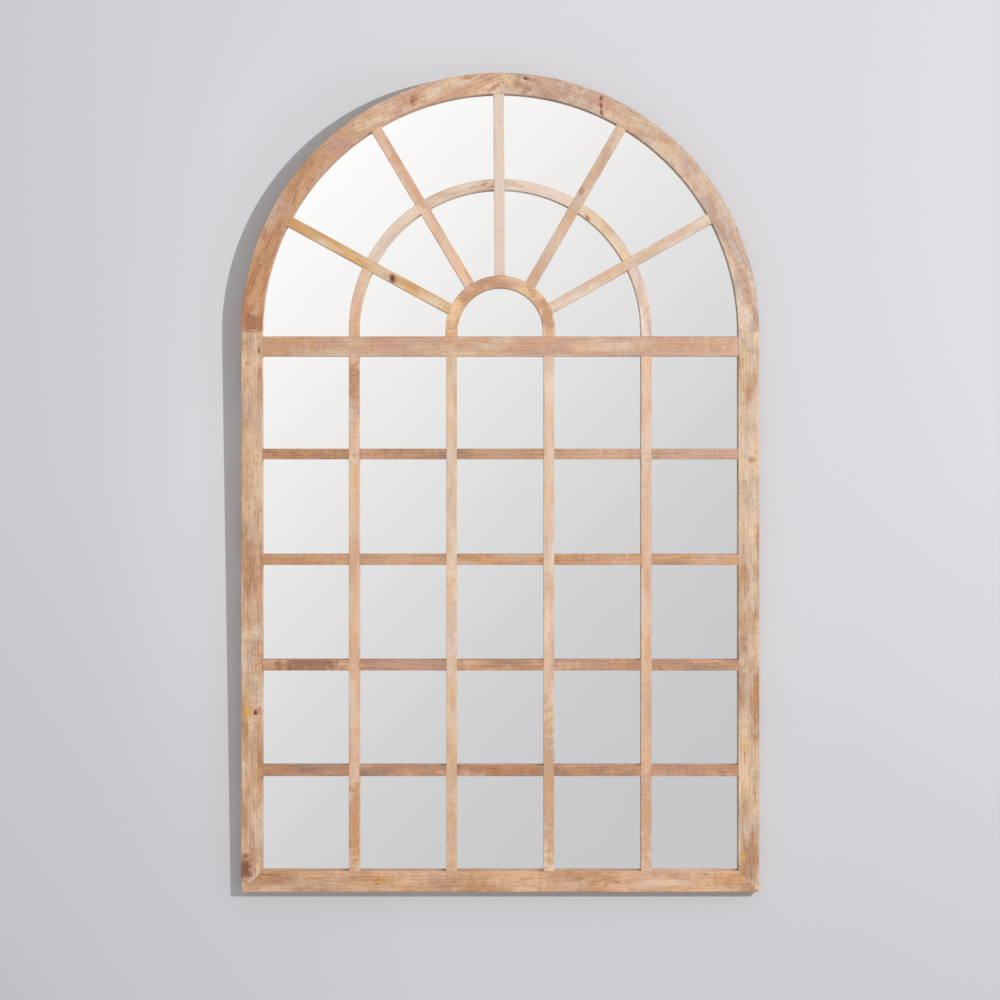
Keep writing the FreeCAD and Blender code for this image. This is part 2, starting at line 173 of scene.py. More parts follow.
def floor_paint(tree):
    point = add(tree, "TexCoord").outputs["Object"]
    clouds = add(tree, "TexNoise", {"Vector": point, "Scale": floor_clouds_per_metre,
                                    "Detail": 3.0})
    return add(tree, "ValToRGB", {0: clouds.outputs[0]},
               stops=[(0.3, tone(floor_shade)), (0.7, tone(floor_tone))]).outputs[0]


def stage_sheet(name, corners, material):
    mesh = bpy.data.meshes.new(name)
    mesh.from_pydata(corners, [], [range(len(corners))])
    mesh.materials.append(material)
    sheet = bpy.data.objects.new(name, mesh)
    scene.collection.objects.link(sheet)
    sheet.visible_shadow = False
    sheet.visible_diffuse = False
    sheet.visible_glossy = False


wall_low_y = wall_foot_y + wall_lean * floor_z
wall_high_y = wall_foot_y + wall_lean * wall_top_z
stage_sheet("wall", [(-wall_reach, wall_low_y, floor_z), (wall_reach, wall_low_y, floor_z),
                     (wall_reach, wall_high_y, wall_top_z),
                     (-wall_reach, wall_high_y, wall_top_z)],
            stage_material("painted_wall", wall_paint))
stage_sheet("floor", [(-wall_reach, -wall_reach, floor_z), (wall_reach, -wall_reach, floor_z),
                      (wall_reach, wall_reach, floor_z), (-wall_reach, wall_reach, floor_z)],
            stage_material("painted_floor", floor_paint))

# ---------------------------------------------------------------------- light
# One bare lamp stands level with the top of the mirror and two metres to its right,
# and gives the crisp shadow on the wall. The room in front is a soft diagonal fade,
# white at the upper left and grey at the lower right, which the mirror shows.
lamp_place = (1.97, -3.77, 1.49)
lamp_power = 400.0
lamp_radius = 0.035
fade_way = (1, 0, -1)             # to the right and down
fade_white = -0.160               # where the fade starts and ends
fade_grey = 0.175
silver_gain = 1.07                # makes up for what the silvering swallows
room_light = 0.52                 # light from the sides and behind
room_light_right = 0.14
room_light_high = 0.10
in_front_from = -0.95             # how squarely in front of the mirror the fade lies
in_front_full = -0.984

lamp_data = bpy.data.lights.new("key", "POINT")
lamp_data.energy = lamp_power
lamp_data.shadow_soft_size = lamp_radius
lamp = bpy.data.objects.new("key", lamp_data)
lamp.location = lamp_place
scene.collection.objects.link(lamp)

room = bpy.data.worlds.new("room")
scene.world = room
room.use_nodes = True
tree = room.node_tree
tree.nodes.clear()
sight = add(tree, "TexCoord").outputs["Generated"]
sight_parts = add(tree, "SeparateXYZ", {0: sight})
fade = add(tree, "VectorMath", {0: sight, 1: fade_way}, operation="DOT_PRODUCT")
fade_place = add(tree, "MapRange", {"Value": fade.outputs["Value"],
                                    "From Min": fade_white, "From Max": fade_grey})
faded = add(tree, "ValToRGB", {0: fade_place.outputs[0]},
            stops=[(0.00, tone("#FBFBFB")), (0.18, tone("#F1F1F0")), (0.48, tone("#DEDEDE")),
                   (0.70, tone("#CFD0D1")), (0.84, tone("#C9CACC")), (1.00, tone("#C5C6C8"))])
shown = add(tree, "VectorMath", {0: faded.outputs[0], "Scale": silver_gain}, operation="SCALE")
right_light = add(tree, "Math", {0: sight_parts.outputs[0], 1: room_light_right, 2: room_light},
                  operation="MULTIPLY_ADD")
high_light = add(tree, "Math", {0: sight_parts.outputs[2], 1: room_light_high,
                                2: right_light.outputs[0]}, operation="MULTIPLY_ADD")
in_front = add(tree, "MapRange", {"Value": sight_parts.outputs[1], "From Min": in_front_from,
                                  "From Max": in_front_full}, interpolation_type="SMOOTHSTEP")
view = add(tree, "Mix", {MIX_FACTOR: in_front.outputs[0], MIX_A: high_light.outputs[0],
                         MIX_B: shown.outputs[0]}, data_type="RGBA")
glow = add(tree, "Background", {"Color": view.outputs[MIX_RESULT], "Strength": 1.0})
add(tree, "OutputWorld", {"Surface": glow.outputs[0]})

# ---------------------------------------------------------------- outer frame
# Boards of solid mango, sanded and left natural under a thin matt lacquer: cream to
# reddish brown, with soft streaks, knots and yellow stains. The fine open pores are
# drawn coarser than they are, so that they show.
cream = "#E9D3C0"
pale = "#DEC1A8"
peach = "#DEB497"
tan = "#CFA585"
honey = "#CC9A6B"
rose = "#C89C84"
beige = "#CBB09A"
brown = "#B98A66"
russet = "#B0754F"
mauve = "#B8957F"
grey_brown = "#A37F69"
gold = "#D9AE68"
umber = "#74432B"

broad_streak = (0.026, 0.100)     # across and along the grain, in metres
warm_patch = (0.020, 0.070)
streak = (0.0036, 0.085)
fibre = (0.0020, 0.030)
ripple = (0.016, 0.010)
mottle = (0.005, 0.006)
pore = (0.0011, 0.009)
ring_spacing = 0.0062
waviness = 0.007
drift_per_metre = 15.0            # the fibres lean one way and back every 67 mm
drift_along = 0.2                 # share of that along the grain
heart_aside = 0.10                # how far off the middle of the tree lies
heart_behind = 0.03
heart_lean = 1.5                  # degrees between the board and the tree's axis
tree_step = (1.0, 0.37, 0.71)     # way through the tree from one sample to the next
mark_depth = 0.02                 # metres that a mark reaches into the wood
ring_share = 0.13                 # how much each layer adds to the figure
streak_share = 0.42
fibre_share = 0.50
ripple_share = 0.48
mottle_share = 0.45
pore_shade = 0.12
pore_depth = 0.8
hue_drift = 0.10                  # swing between golden and pinkish patches
golden_turn = (0.35, -0.08, -1.0)
warm_red = 0.25                   # red added to a board for each part of blue taken away
figure_middle = 0.51
# What the figure does to a board's colour: reddish in the dark lines, paler between.
grain_shades = [(0.0, tone("#A38773")), (0.5, tone("#D9D9D9")), (1.0, tone("#F2F3F4"))]


def layer(tree, point, size, detail=3.0):
    """Noise stretched along the grain, local Z."""
    across, along = size
    stretched = add(tree, "Mapping", {"Vector": point,
                                      "Scale": (1 / across, 1 / across, 1 / along)})
    return add(tree, "TexNoise", {"Vector": stretched.outputs[0], "Scale": 1.0,
                                  "Detail": detail, "Roughness": 0.6}).outputs[0]


def mango(name, grain, tones, sample, figure=1.0, shade=1.0, warmth=0.0, marks=()):
    """One board. grain is its direction in degrees from +X, sample picks a part of the
    tree, figure is how strongly the grain shows, warmth is golden above nought and pinkish
    below it."""
    material, tree = new_material(name)
    point = add(tree, "TexCoord").outputs["Object"]
    place_in_tree = tuple(sample * step for step in tree_step)
    board = add(tree, "Mapping", {"Vector": point, "Location": place_in_tree,
                                  "Rotation": (0, math.radians(grain - 90), 0)}).outputs[0]
    slow = add(tree, "Mapping", {"Vector": board, "Scale": (1, 1, drift_along)})
    drift = add(tree, "TexNoise", {"Vector": slow.outputs[0], "Scale": drift_per_metre,
                                   "Detail": 2.5})
    wood = add(tree, "VectorMath", {0: drift.outputs[1], 1: (waviness, waviness, 0), 2: board},
               operation="MULTIPLY_ADD").outputs[0]

    broad = layer(tree, wood, broad_streak)
    dark, middle, light = [tone(t) for t in tones]
    colour = add(tree, "ValToRGB", {0: broad},
                 stops=[(0.37, dark), (0.50, middle), (0.63, light)]).outputs[0]
    ripples = layer(tree, wood, ripple, 2.0)
    for each in marks:
        place = (each["x"], front_y, each["z"])
        half_sizes = (each["wide"], mark_depth, each["long"])
        spot = add(tree, "Mapping", {"Vector": point, "Location": place, "Scale": half_sizes,
                                     "Rotation": (0, math.radians(90 - each["turn"]), 0)},
                   vector_type="TEXTURE")
        away = add(tree, "VectorMath", {0: spot.outputs[0]}, operation="LENGTH")
        torn = each["torn"]
        ragged = add(tree, "Math", {0: ripples, 1: torn, 2: away.outputs["Value"]},
                     operation="MULTIPLY_ADD")
        cover = add(tree, "MapRange", {"Value": ragged.outputs[0],
                                       "From Min": torn / 2 + each["core"],
                                       "From Max": torn / 2 + 1.0, "To Min": each["cover"],
                                       "To Max": 0.0}, interpolation_type="SMOOTHSTEP")
        stained = add(tree, "Mix", {MIX_FACTOR: cover.outputs[0], MIX_A: colour,
                                    MIX_B: tone(each["colour"])}, data_type="RGBA")
        colour = stained.outputs[MIX_RESULT]

    lean = math.radians(heart_lean)
    tree_heart = add(tree, "Mapping", {"Vector": wood, "Rotation": (lean, lean, 0),
                                       "Location": (heart_aside, heart_behind, 0)})
    # At scale 1 the rings of this pattern lie pi / 10 apart.
    ring = add(tree, "TexWave", {"Vector": tree_heart.outputs[0],
                                 "Scale": math.pi / 10 / ring_spacing, "Distortion": 4.0,
                                 "Detail": 4.0, "Detail Scale": 0.9},
               wave_type="RINGS", rings_direction="Z").outputs[1]
    fibres = layer(tree, wood, fibre)
    pores = add(tree, "MapRange", {"Value": layer(tree, wood, pore, 1.0),
                                   "From Min": 0.58, "From Max": 0.70}).outputs[0]
    layers = ((ring, ring_share), (layer(tree, wood, streak), streak_share),
              (fibres, fibre_share), (ripples, ripple_share),
              (layer(tree, wood, mottle, 2.0), mottle_share))
    weights = [figure * weight for _, weight in layers]
    value = add(tree, "Math", {0: pores, 1: -pore_shade * figure,
                               2: figure_middle - sum(weights) / 2},
                operation="MULTIPLY_ADD").outputs[0]
    for (source, _), weight in zip(layers, weights):
        value = add(tree, "Math", {0: source, 1: weight, 2: value},
                    operation="MULTIPLY_ADD").outputs[0]
    figured = add(tree, "ValToRGB", {0: value}, stops=grain_shades)
    lit = add(tree, "VectorMath", {0: colour, 1: figured.outputs[0]}, operation="MULTIPLY")
    patch = add(tree, "MapRange", {"Value": layer(tree, wood, warm_patch, 2.0), "From Min": 0.35,
                                   "From Max": 0.65, "To Min": -hue_drift,
                                   "To Max": hue_drift})
    tint = add(tree, "VectorMath", {0: patch.outputs[0], 1: golden_turn,
                                    2: (1 + warm_red * warmth, 1.0, 1 - warmth)},
               operation="MULTIPLY_ADD")
    lit = add(tree, "VectorMath", {0: lit.outputs[0], 1: tint.outputs[0]}, operation="MULTIPLY")
    lit = add(tree, "VectorMath", {0: lit.outputs[0], "Scale": shade / grain_shades[1][1][0]},
              operation="SCALE")

    rough = add(tree, "MapRange", {"Value": fibres, "From Min": 0.3, "From Max": 0.7,
                                   "To Min": 0.46, "To Max": 0.62})
    grooves = add(tree, "Math", {0: pores, 1: -pore_depth, 2: fibres}, operation="MULTIPLY_ADD")
    relief = add(tree, "Bump", {"Strength": 0.25, "Distance": 0.0003, "Height": grooves.outputs[0]})
    surface = add(tree, "BsdfPrincipled", {"Base Color": lit.outputs[0],
                                           "Roughness": rough.outputs[0],
                                           "Specular IOR Level": 0.35,
                                           "Normal": relief.outputs[0]})
    finish_material(tree, surface)
    return material


def dress(node, material):
    """Gives a piece its material in place of the plain one."""
    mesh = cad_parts[node].data
    mesh.materials.clear()
    mesh.materials.append(material)


def mark(x, z, long, wide, turn, colour, cover, torn=1.6, core=0.3):
    """A knot, stain or streak: its middle and half sizes in millimetres, its direction in
    degrees from +X, how strongly it covers the wood, how torn its rim is, and how much of
    it is covered fully."""
    return dict(x=x / 1000, z=z / 1000, long=long / 1000, wide=wide / 1000, turn=turn,
                colour=colour, cover=cover, torn=torn, core=core)


def seam(x, z, reach, turn, cover=0.7):
    """The hair line of a glued joint, as a shade in the wood beside it."""
    return mark(x, z, reach, 0.9, turn, umber, cover, torn=0.7, core=0.0)


left_stile_marks = [
    mark(-463, 800, 240, 34, 90, "#E0C7AE", 0.5),
    mark(-462, 204, 95, 12, 90, cream, 0.3),
    mark(-463, 400, 130, 22, 90, "#BE9270", 0.45),
    mark(-471, 335, 20, 10, 90, gold, 0.75),
    mark(-473, 305, 16, 9, 90, "#B9894C", 0.6),
    mark(-450, 336, 10, 12, 90, "#B5714F", 0.7),
    mark(-456, 335, 8, 6, 90, "#64301C", 0.95, torn=1.0),
    mark(-475, 46, 34, 15, 90, "#7A4226", 0.85),
    mark(-462, 62, 30, 9, 100, russet, 0.45),
    mark(-477, 249, 12, 3, 90, brown, 0.6),
    mark(-448, 966, 16, 4, 90, "#A5643F", 0.6),
    mark(-449, 1009, 7, 3.5, 90, umber, 0.75),
    mark(-471, 987, 12, 5, 70, brown, 0.6),
    mark(-470, 1020, 26, 9, 90, "#B98C74", 0.5),
    seam(-463, 1043.2, 20, 0),
    seam(-463, 19.5, 27, 135, 0.5),
]
dress("left_stile", mango("mango_left_stile", 90, (brown, tan, pale), 0.0, warmth=0.03,
                          marks=left_stile_marks))

right_stile_marks = [
    mark(455, 998, 24, 7, 90, "#DDBE86", 0.65),
    mark(465, 1006, 12, 5, 80, brown, 0.5),
    mark(470, 803, 15, 9, 30, "#A97A5C", 0.7),
    mark(455, 272, 24, 8, 90, gold, 0.55),
    mark(455, 246, 20, 3, 90, "#A0743F", 0.6),
    mark(474, 182, 34, 3, 92, brown, 0.6),
    mark(460, 124, 45, 10, 90, cream, 0.5),
    mark(453, 65, 15, 7, 90, "#E0B264", 0.65),
    mark(468, 37, 24, 8, 117, "#AD8E77", 0.7),
    seam(463, 1043.2, 20, 0, 0.4),
    seam(463, 19.5, 27, 45, 0.4),
]
dress("right_stile", mango("mango_right_stile", 90, (brown, beige, pale), 0.43, shade=0.94,
                           warmth=0.06, marks=right_stile_marks))

bottom_rail_marks = [
    mark(-223, 22, 26, 7, 2, "#CFA055", 0.6),
    mark(-233, 15, 12, 2, -4, "#A06A30", 0.6),
    mark(206, 20, 30, 9, 0, "#B98A58", 0.6),
    mark(219, 18, 9, 2.5, -10, "#94642F", 0.7),
    mark(193, 11, 11, 2, 8, "#94642F", 0.7),
    mark(307, 17, 80, 9, 0, cream, 0.5),
    mark(428, 24, 48, 12, 0, "#CF9566", 0.6),
    seam(-463, 19.5, 27, 135, 0.5),
    seam(463, 19.5, 27, 45, 0.4),
]
dress("bottom_rail", mango("mango_bottom_rail", 0, (brown, tan, peach), 0.91, shade=0.97,
                           warmth=0.05, marks=bottom_rail_marks))

right_joint_blend = mark(341, 1384, 34, 26, 135, "#D2B79F", 0.65)
left_joint_blend = mark(-341, 1384, 34, 26, 45, "#CDA37D", 0.65)
arch_right_low_marks = [
    right_joint_blend,
    mark(387, 1274, 28, 9, 117, "#C7B09F", 0.5),
    mark(424, 1237, 18, 10, 115, "#D2B5A2", 0.5),
    mark(440, 1234, 8, 1.6, 80, "#B07A60", 0.5),
    mark(455, 1138, 62, 14, 102, "#BFA18D", 0.6),
    mark(450, 1153, 17, 1.6, 130, "#A07C66", 0.55),
    mark(457, 1137, 17, 1.6, 130, "#A07C66", 0.55),
    mark(460, 1120, 14, 1.6, 125, "#A07C66", 0.5),
    mark(460, 1076, 27, 17, 90, "#E6C8AE", 0.7),
    mark(474, 1073, 13, 3.5, 85, "#B09384", 0.6),
]
arch_right_high_marks = [
    right_joint_blend,
    mark(92, 1497, 78, 40, 170, "#C0987C", 0.6),
    mark(15, 1511, 21, 8, 138, "#E3BC8E", 0.9),
    mark(39, 1504, 25, 13, 170, "#B28369", 0.7),
    mark(5, 1508, 3.5, 2.2, 0, umber, 0.5),
    mark(12, 1501, 3.5, 2.2, 40, umber, 0.45),
    mark(47, 1515, 7, 4.5, 0, "#74341F", 0.95, torn=0.8),
    mark(61, 1514, 16, 4, 172, "#B5735A", 0.7),
    mark(55, 1494, 4, 3, 0, "#A8755C", 0.6),
    mark(167, 1477, 28, 9, 158, "#C4937A", 0.6),
    mark(188, 1466, 24, 4.5, 95, "#AC7A62", 0.75),
    mark(188, 1479, 6, 4, 70, "#7A4433", 0.9, torn=1.2),
    mark(187.5, 1464, 5, 4, 90, "#7A4433", 0.9, torn=1.2),
    mark(187.5, 1452, 6, 3, 90, "#8A5442", 0.85, torn=1.2),
    mark(245, 1453, 17, 3, 135, "#AE8B70", 0.5),
    mark(262, 1428, 26, 8, 145, "#D6C0AA", 0.5),
]
arch_left_high_marks = [
    left_joint_blend,
    mark(-2, 1502, 5, 4, 0, umber, 0.45),
    mark(-12, 1498, 19, 6, 40, "#B47D62", 0.75),
    mark(-62, 1516, 12, 5, 12, "#B9855A", 0.8),
    mark(-127, 1488, 26, 16, 20, "#E4CEB8", 0.75),
    mark(-161, 1477, 15, 12, 60, "#B9846C", 0.8),
    mark(-163, 1474, 6, 3.5, 60, "#95593F", 0.7),
    mark(-224, 1460, 42, 14, 25, "#D5AD8A", 0.5),
    mark(-354, 1363, 40, 12, 45, "#D0A683", 0.5),
]
arch_left_low_marks = [
    left_joint_blend,
    mark(-384, 1313, 17, 8, 52, "#BC8758", 0.65),
    mark(-405, 1276, 24, 12, 58, "#BE906A", 0.5),
    mark(-394, 1251, 6, 3.4, 60, "#C0874F", 0.7),
    mark(-440, 1222, 15, 9, 66, "#AC7657", 0.65),
    mark(-461, 1197, 8, 4.2, 70, "#64422A", 0.85),
    mark(-463, 1174, 16, 8, 75, "#C79C66", 0.75),
    mark(-464, 1103, 13, 12, 90, "#CFA686", 0.6),
    mark(-464, 1062, 24, 18, 90, "#A66A4C", 0.8),
    mark(-464, 1050, 17, 3, 0, "#96583F", 0.7),
    mark(-470, 1046.6, 5, 1.3, 0, umber, 0.8),
]
arch_boards = [               # grain, tones, sample, shade, warmth, marks
    ("arch_segment_1", 112.5, (mauve, beige, pale), 1.31, 0.96, -0.03, arch_right_low_marks),
    ("arch_segment_2", 157.5, (rose, beige, "#D6BAA2"), 1.77, 0.96, 0.02, arch_right_high_marks),
    ("arch_segment_3", 22.5, (rose, tan, pale), 2.23, 0.97, 0.02, arch_left_high_marks),
    ("arch_segment_4", 67.5, ("#B9805A", honey, tan), 2.71, 1.01, -0.11, arch_left_low_marks),
]
for node, grain, tones, sample, shade, warmth, marks in arch_boards:
    dress(node, mango("mango_" + node, grain, tones, sample, shade=shade, warmth=warmth,
                      marks=marks))

# -------------------------------------------------------------- transom rail
# The wide bar under the fanlight, tenoned into both stiles: fine straight grain
# that turns from tan orange at the left to a pinkish brown.
transom_tones = (rose, "#CAA488", "#D6B69B")
dress("transom_rail", mango("mango_transom_rail", 0, transom_tones, 3.17, figure=0.75, marks=[
    mark(-400, 1016, 70, 30, 0, honey, 0.6),
    mark(330, 1016, 130, 30, 0, "#C09A82", 0.5),
]))

# ------------------------------------------------------------------- muntins
# Slim bars halved into each other: the uprights run through in front and are the
# paler ones, the cross bars are browner. Their stub tenons are glued in the frame.
first_upright_marks = [
    mark(-272, 940, 62, 22, 90, "#B28368", 0.75),
    mark(-272, 982, 11, 1.4, 30, "#8E6249", 0.55),
    mark(-272, 963, 11, 1.4, 32, "#8E6249", 0.55),
    mark(-272, 942, 10, 1.6, 60, "#8E6249", 0.45),
    mark(-272, 888, 30, 13, 90, "#C9AD9B", 0.5),
    mark(-272, 846, 11, 1.4, 30, "#9A7058", 0.5),
    mark(-272, 814, 9, 8, 90, "#B08463", 0.5),
    mark(-272, 725, 105, 14, 90, "#DDB391", 0.5),
    mark(-272, 520, 100, 20, 90, "#E0BC9E", 0.55),
    mark(-272, 128, 115, 24, 90, "#C08858", 0.75),
]
pale_upright = ("#D2AE8E", "#DBBC9F", "#E2C9B1")
upright_boards = [            # tones, sample, shade, warmth, marks
    ("upright_muntin_1", (tan, peach, pale), 3.61, 1.03, -0.01, first_upright_marks),
    ("upright_muntin_2", pale_upright, 4.07, 1.02, -0.02, [
        mark(-91, 110, 90, 20, 90, "#CFA27C", 0.5),
        mark(-91, 520, 105, 20, 90, "#D6B296", 0.65),
    ]),
    ("upright_muntin_3", pale_upright, 4.53, 1.03, -0.04, [
        mark(91, 190, 210, 24, 90, "#BF926A", 0.65),
    ]),
    ("upright_muntin_4", (tan, peach, pale), 4.97, 0.98, -0.02, [
        mark(272, 140, 130, 22, 90, "#C79872", 0.55),
        mark(272, 330, 105, 20, 90, "#D1A886", 0.55),
        mark(272, 715, 110, 20, 90, "#DBB08C", 0.65),
    ]),
]
for node, tones, sample, shade, warmth, marks in upright_boards:
    dress(node, mango("mango_" + node, 90, tones, sample, figure=0.5, shade=shade, warmth=warmth,
                      marks=marks))

cross_boards = [              # tones, sample, shade, warmth, marks
    ("cross_muntin_1", (grey_brown, brown, rose), 5.41, 1.07, -0.04, [
        mark(360, 226, 100, 24, 0, "#B0866C", 0.75),
        mark(-5, 226, 100, 18, 0, "#B47850", 0.7),
    ]),
    ("cross_muntin_2", (grey_brown, brown, tan), 5.87, 1.10, -0.05, [
        mark(-355, 422, 85, 24, 0, "#93664C", 0.85),
        mark(180, 422, 90, 20, 0, "#B48A6E", 0.5),
        mark(-180, 422, 90, 24, 0, "#C3987C", 0.75),
    ]),
    ("cross_muntin_3", (brown, honey, tan), 6.31, 1.02, -0.11, [
        mark(-180, 617, 90, 24, 0, "#D6A783", 0.75),
        mark(180, 617, 90, 20, 0, "#BD8C68", 0.45),
    ]),
    ("cross_muntin_4", (grey_brown, brown, rose), 6.77, 1.0, 0.01, [
        mark(-336, 815, 17, 10, 0, "#B07E66", 0.5),
        mark(-190, 815, 17, 10, 0, "#B07E66", 0.5),
        mark(0, 814, 90, 24, 0, "#C9A087", 0.65),
        mark(180, 814, 110, 30, 0, "#D3B097", 0.7),
        mark(350, 814, 110, 30, 0, "#CBA690", 0.75),
    ]),
]
for node, tones, sample, shade, warmth, marks in cross_boards:
    dress(node, mango("mango_" + node, 0, tones, sample, shade=shade, warmth=warmth, marks=marks))

# ------------------------------------------------------------------ fanlight
# Five spokes scribed to the hub arch and tongued into the outer arch, six short
# curved pieces between them, and the hub arch sawn from one board.
middle_spoke_turn = 90.4          # degrees from +X, and from each spoke to the next
spoke_step = 30.5
spoke_boards = [              # steps from the middle, tones, sample, shade, marks
    ("fan_spoke_1", -2, (peach, pale, cream), 7.19, 0.92, [
        mark(270, 1180, 40, 14, 30, "#CFB199", 0.5),
    ]),
    ("fan_spoke_2", -1, (tan, beige, pale), 7.61, 0.97, [
        mark(105, 1216, 70, 20, 60, "#DDC1A8", 0.5),
        mark(192, 1362, 78, 14, 60, "#C09880", 0.45),
        mark(151, 1305, 14, 12, 60, "#B07D66", 0.75),
    ]),
    ("fan_spoke_3", 0, (pale, cream, cream), 8.03, 0.90, []),
    ("fan_spoke_4", 1, (tan, peach, pale), 8.49, 1.05, [
        mark(-92, 1188, 70, 18, 120, "#E3C3A8", 0.65),
        mark(-173, 1324, 80, 14, 120, "#C89A7A", 0.5),
    ]),
    ("fan_spoke_5", 2, (honey, "#D3AB78", pale), 8.93, 1.03, [
        mark(-125, 1102, 38, 12, 150, "#E6CFAE", 0.6),
        mark(-199, 1143, 24, 11, 150, "#B58263", 0.75),
        mark(-201, 1144.5, 13, 7.5, 110, "#5E3020", 0.95, torn=1.0),
    ]),
]
for node, steps, tones, sample, shade, marks in spoke_boards:
    grain = middle_spoke_turn + steps * spoke_step
    dress(node, mango("mango_" + node, grain, tones, sample, figure=0.4, shade=shade,
                      marks=marks))

mid_arc_boards = [            # grain, tones, sample, shade, warmth, marks
    ("mid_arc_1", 105, (beige, "#DCC3B0", cream), 9.37, 1.0, -0.05, [
        mark(271, 1080, 15, 2.2, 60, "#B08B70", 0.5),
        mark(279, 1063, 12, 1.8, 70, "#B08B70", 0.5),
    ]),
    ("mid_arc_2", 135, (tan, cream, cream), 9.83, 0.88, 0.09, [
        mark(183, 1221, 46, 5, 131, "#E3BC6C", 0.95),
        mark(163, 1255, 9, 5, 135, "#C58238", 0.9),
    ]),
    ("mid_arc_3", 165, (pale, cream, cream), 10.27, 0.92, -0.08, [
        mark(115, 1278, 13, 5, 150, "#CDAA84", 0.5),
    ]),
    ("mid_arc_4", 15, (beige, pale, cream), 10.71, 0.92, -0.03, [
        mark(-56, 1311, 15, 2.2, 20, "#A58368", 0.65),
        mark(-30, 1318, 14, 2.6, 24, "#A58368", 0.65),
        mark(-15, 1314, 9, 3, 20, "#A07350", 0.65),
    ]),
    ("mid_arc_5", 45, (pale, cream, cream), 11.13, 0.95, 0.02, []),
    ("mid_arc_6", 75, (tan, peach, pale), 11.57, 1.0, -0.02, []),
]
for node, grain, tones, sample, shade, warmth, marks in mid_arc_boards:
    dress(node, mango("mango_" + node, grain, tones, sample, figure=0.45, shade=shade,
                      warmth=warmth, marks=marks))

hub_tones = ("#C19270", "#D9B08C", "#E2C09A")
dress("hub_arch", mango("mango_hub_arch", 0, hub_tones, 12.01, figure=0.6, marks=[
    mark(-90, 1080, 50, 20, 80, "#EEC698", 0.8),
    mark(-92, 1049, 9, 1.6, 8, "#9C6633", 0.6),
    mark(88, 1072, 46, 20, 100, "#B5825F", 0.7),
    mark(9, 1138, 26, 5, 0, "#C8A68A", 0.6),
    mark(60, 1118, 18, 9, 130, "#B98A69", 0.5),
]))

# ------------------------------------------------------- dowels and splines
# Fluted beech dowels in the arch joints and thin birch plywood splines in the
# mitres, all glued in and out of sight.
timber_fleck = (0.0004, 0.0025)
plies = 3
spline_low, spline_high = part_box("mitre_splines")


def plain_timber(name, light, dark, size):
    material, tree = new_material(name)
    point = add(tree, "TexCoord").outputs["Object"]
    flecks = layer(tree, point, size)
    colour = add(tree, "ValToRGB", {0: flecks}, stops=[(0.35, tone(dark)), (0.65, tone(light))])
    relief = add(tree, "Bump", {"Strength": 0.2, "Distance": 0.0002, "Height": flecks})
    surface = add(tree, "BsdfPrincipled", {"Base Color": colour.outputs[0], "Roughness": 0.6,
                                           "Normal": relief.outputs[0]})
    finish_material(tree, surface)
    return material


def birch_plywood(name):
    """Faces pale, edges banded by the plies through the thickness."""
    material, tree = new_material(name)
    point = add(tree, "TexCoord").outputs["Object"]
    depth = add(tree, "SeparateXYZ", {0: point}).outputs[1]
    through = add(tree, "MapRange", {"Value": depth, "From Min": spline_low[1],
                                     "From Max": spline_high[1], "To Max": plies})
    step = add(tree, "Math", {0: through.outputs[0], 1: 1.0}, operation="PINGPONG")
    flecks = layer(tree, point, timber_fleck)
    mixed = add(tree, "Math", {0: step.outputs[0], 1: 0.6, 2: flecks}, operation="MULTIPLY_ADD")
    colour = add(tree, "ValToRGB", {0: mixed.outputs[0]},
                 stops=[(0.4, tone("#E3CDA6")), (1.0, tone("#B58E5E"))])
    surface = add(tree, "BsdfPrincipled", {"Base Color": colour.outputs[0], "Roughness": 0.65})
    finish_material(tree, surface)
    return material


dress("frame_dowels", plain_timber("beech_turned", "#E2C49C", "#C49A6C", timber_fleck))
dress("mitre_splines", birch_plywood("birch_plywood_sawn"))

# -------------------------------------------------------------- mirror glass
# One sheet of 4 mm float glass, silvered on its back: all but a perfect mirror,
# with a breath of haze that is uneven from place to place.
clouds_per_metre = 9.0            # 110 mm across
material, tree = new_material("float_glass_silvered")
point = add(tree, "TexCoord").outputs["Object"]
dust = add(tree, "TexNoise", {"Vector": point, "Scale": clouds_per_metre, "Detail": 4.0})
haze = add(tree, "MapRange", {"Value": dust.outputs[0], "From Min": 0.4, "From Max": 0.7,
                              "To Min": 0.004, "To Max": 0.02})
silver = add(tree, "ValToRGB", {0: dust.outputs[0]},
             stops=[(0.3, tone("#FAF9F9")), (0.7, tone("#FBFAFA"))])
surface = add(tree, "BsdfPrincipled", {"Base Color": silver.outputs[0], "Metallic": 1.0,
                                       "Roughness": haze.outputs[0]})
finish_material(tree, surface)
dress("mirror_glass", material)

# ------------------------------------------------------------ cushion strips
# Strips of soft closed-cell foam, cut from sheet, that press the glass forward
# against the bars. Their dull grey is finely pitted by the cut cells.
foam_cell = 0.0008
material, tree = new_material("polyethylene_foam")
point = add(tree, "TexCoord").outputs["Object"]
cells = add(tree, "TexVoronoi", {"Vector": point, "Scale": 1 / foam_cell})
colour = add(tree, "ValToRGB", {0: cells.outputs[0]},
             stops=[(0.1, tone("#4A4B4C")), (0.8, tone("#5C5D5E"))])
relief = add(tree, "Bump", {"Strength": 0.4, "Distance": 0.0003, "Height": cells.outputs[0]})
surface = add(tree, "BsdfPrincipled", {"Base Color": colour.outputs[0], "Roughness": 0.85,
                                       "Normal": relief.outputs[0]})
finish_material(tree, surface)
dress("cushion_strips", material)

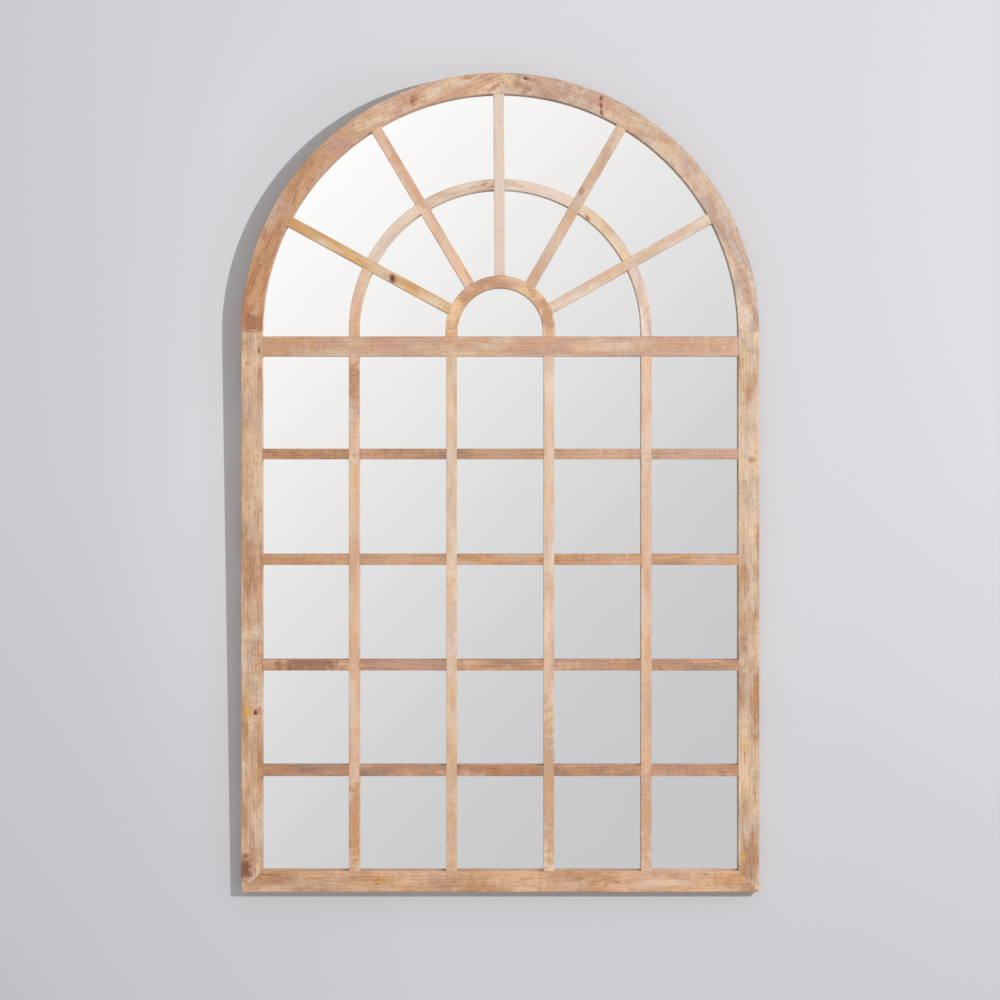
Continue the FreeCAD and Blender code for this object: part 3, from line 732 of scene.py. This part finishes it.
# ---------------------------------------------------------------- back panel
# Medium density fibreboard, smooth pressed faces and fuzzy sawn edges, let into the
# frame's second rebate and held by pan head screws all round.
fluff_size = 0.0012
material, tree = new_material("fibreboard_pressed")
point = add(tree, "TexCoord").outputs["Object"]
cloud = add(tree, "TexNoise", {"Vector": point, "Scale": clouds_per_metre, "Detail": 5.0})
fluff = add(tree, "TexNoise", {"Vector": point, "Scale": 1 / fluff_size, "Detail": 4.0,
                               "Roughness": 0.7})
both = add(tree, "Math", {0: cloud.outputs[0], 1: 0.6, 2: fluff.outputs[0]},
           operation="MULTIPLY_ADD")
colour = add(tree, "ValToRGB", {0: both.outputs[0]},
             stops=[(0.55, tone("#8E7152")), (0.80, tone("#A68863")), (1.0, tone("#B59A77"))])
relief = add(tree, "Bump", {"Strength": 0.25, "Distance": 0.0003, "Height": fluff.outputs[0]})
surface = add(tree, "BsdfPrincipled", {"Base Color": colour.outputs[0], "Roughness": 0.72,
                                       "Specular IOR Level": 0.3, "Normal": relief.outputs[0]})
finish_material(tree, surface)
dress("back_panel", material)


scratches_per_metre = 1800.0      # 0.56 mm apart


def plated_steel(name, bright, dull, roughness, spangle):
    """Steel with a thin metal coat: cloudy patches a few millimetres wide and fine
    scratches from tumbling."""
    material, tree = new_material(name)
    point = add(tree, "TexCoord").outputs["Object"]
    patches = add(tree, "TexVoronoi", {"Vector": point, "Scale": 1 / spangle})
    scratches = add(tree, "TexNoise", {"Vector": point, "Scale": scratches_per_metre,
                                       "Detail": 3.0})
    colour = add(tree, "ValToRGB", {0: patches.outputs[1]},
                 stops=[(0.2, tone(dull)), (0.8, tone(bright))])
    rough = add(tree, "MapRange", {"Value": scratches.outputs[0], "From Min": 0.3, "From Max": 0.7,
                                   "To Min": roughness - 0.06, "To Max": roughness + 0.08})
    relief = add(tree, "Bump", {"Strength": 0.15, "Distance": 0.0001,
                                "Height": scratches.outputs[0]})
    surface = add(tree, "BsdfPrincipled", {"Base Color": colour.outputs[0], "Metallic": 1.0,
                                           "Roughness": rough.outputs[0],
                                           "Normal": relief.outputs[0]})
    finish_material(tree, surface)
    return material


dress("back_panel_screws", plated_steel("zinc_plated_steel", "#D9D6C8", "#B9B4A0", 0.34, 0.0016))

# ------------------------------------------------------------------- hangers
# Stamped steel straps, each folded round one side of a ring of bent wire, all nickel
# plated. Two screws hold each strap on its stile, and the ring swings in the fold.
nickel = plated_steel("nickel_plated_steel", "#DCD8CF", "#C9C4B9", 0.24, 0.0030)
for side in ("left", "right"):
    dress("hanger_strap_" + side, nickel)
    dress("hanger_ring_" + side, nickel)
dress("hanger_screws", plated_steel("nickel_plated_screws", "#D6D2C9", "#BEB9AE", 0.30, 0.0014))

# --------------------------------------------------------------- bumper pads
# Discs of moulded dark grey rubber, self adhesive, that keep the frame off the wall.
# They are matt, with a faint bloom.
bloom_per_metre = 700.0           # 1.4 mm across
material, tree = new_material("rubber_moulded")
point = add(tree, "TexCoord").outputs["Object"]
bloom = add(tree, "TexNoise", {"Vector": point, "Scale": bloom_per_metre, "Detail": 4.0})
colour = add(tree, "ValToRGB", {0: bloom.outputs[0]},
             stops=[(0.35, tone("#3A3A3B")), (0.7, tone("#4E4E50"))])
relief = add(tree, "Bump", {"Strength": 0.2, "Distance": 0.0002, "Height": bloom.outputs[0]})
surface = add(tree, "BsdfPrincipled", {"Base Color": colour.outputs[0], "Roughness": 0.6,
                                       "Normal": relief.outputs[0]})
finish_material(tree, surface)
dress("bumper_pads", material)
